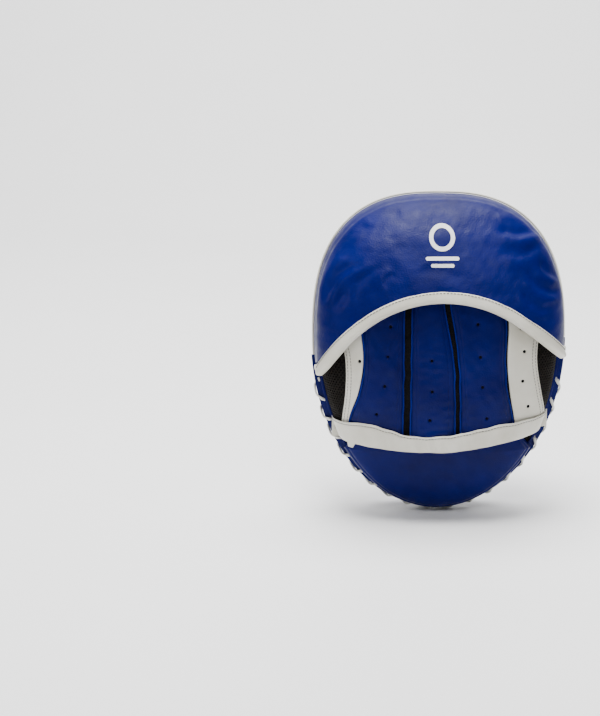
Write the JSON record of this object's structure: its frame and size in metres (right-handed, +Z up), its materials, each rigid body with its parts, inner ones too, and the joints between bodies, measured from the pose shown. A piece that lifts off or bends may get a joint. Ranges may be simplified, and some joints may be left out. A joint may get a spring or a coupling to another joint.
{
  "type": "focus mitt",
  "caption": "Curved padded focus mitt for boxing practice, with a bevelled strike face, finger hood, ventilated hand cover, wrist band and whip-laced rim.",
  "frame": {"origin": "centre of the bounding box's bottom face: the mitt stands on its laced lower rim on the plane Z = 0", "axes": "+Z up towards the fingertips, +Y out of the strike face, +X across the mitt to the thumb side of the hand cover"},
  "size_m": [0.2021, 0.1079, 0.2567],
  "materials": {
    "strike_leather": "satin",
    "print_white": "satin",
    "soft_foam": "matte",
    "firm_foam": "matte",
    "board": "matte",
    "white_leather": "satin",
    "lace_leather": "satin",
    "hood_leather": "satin",
    "panel_leather": "satin",
    "lining": "matte",
    "mesh": "matte",
    "padding": "matte"
  },
  "bodies": {
    "root": {"strike_shell": "strike_leather", "target_disc": "print_white", "shock_foam": "soft_foam", "impact_foam": "firm_foam", "core_foam": "firm_foam", "backing_board": "board", "palm_foam": "soft_foam", "rim_gusset": "white_leather", "hood_piping": "white_leather", "front_lacing_strip": "strike_leather", "back_lacing_strip": "hood_leather", "lace": "lace_leather", "hood_shell": "hood_leather", "hood_padding": "padding", "hood_lining": "lining", "hood_binding": "white_leather", "hood_print": "print_white", "palm_lining": "lining", "palm_grip": "panel_leather", "heel_foam": "padding", "heel_cover": "hood_leather", "cover_underlay": "lining", "mesh_gusset_left": "mesh", "mesh_gusset_right": "mesh", "finger_panel_outer": "panel_leather", "finger_panel_middle": "panel_leather", "finger_panel_inner": "panel_leather", "edge_panel": "white_leather", "thumb_panel": "white_leather", "wrist_band": "white_leather"}
  },
  "joints": []
}
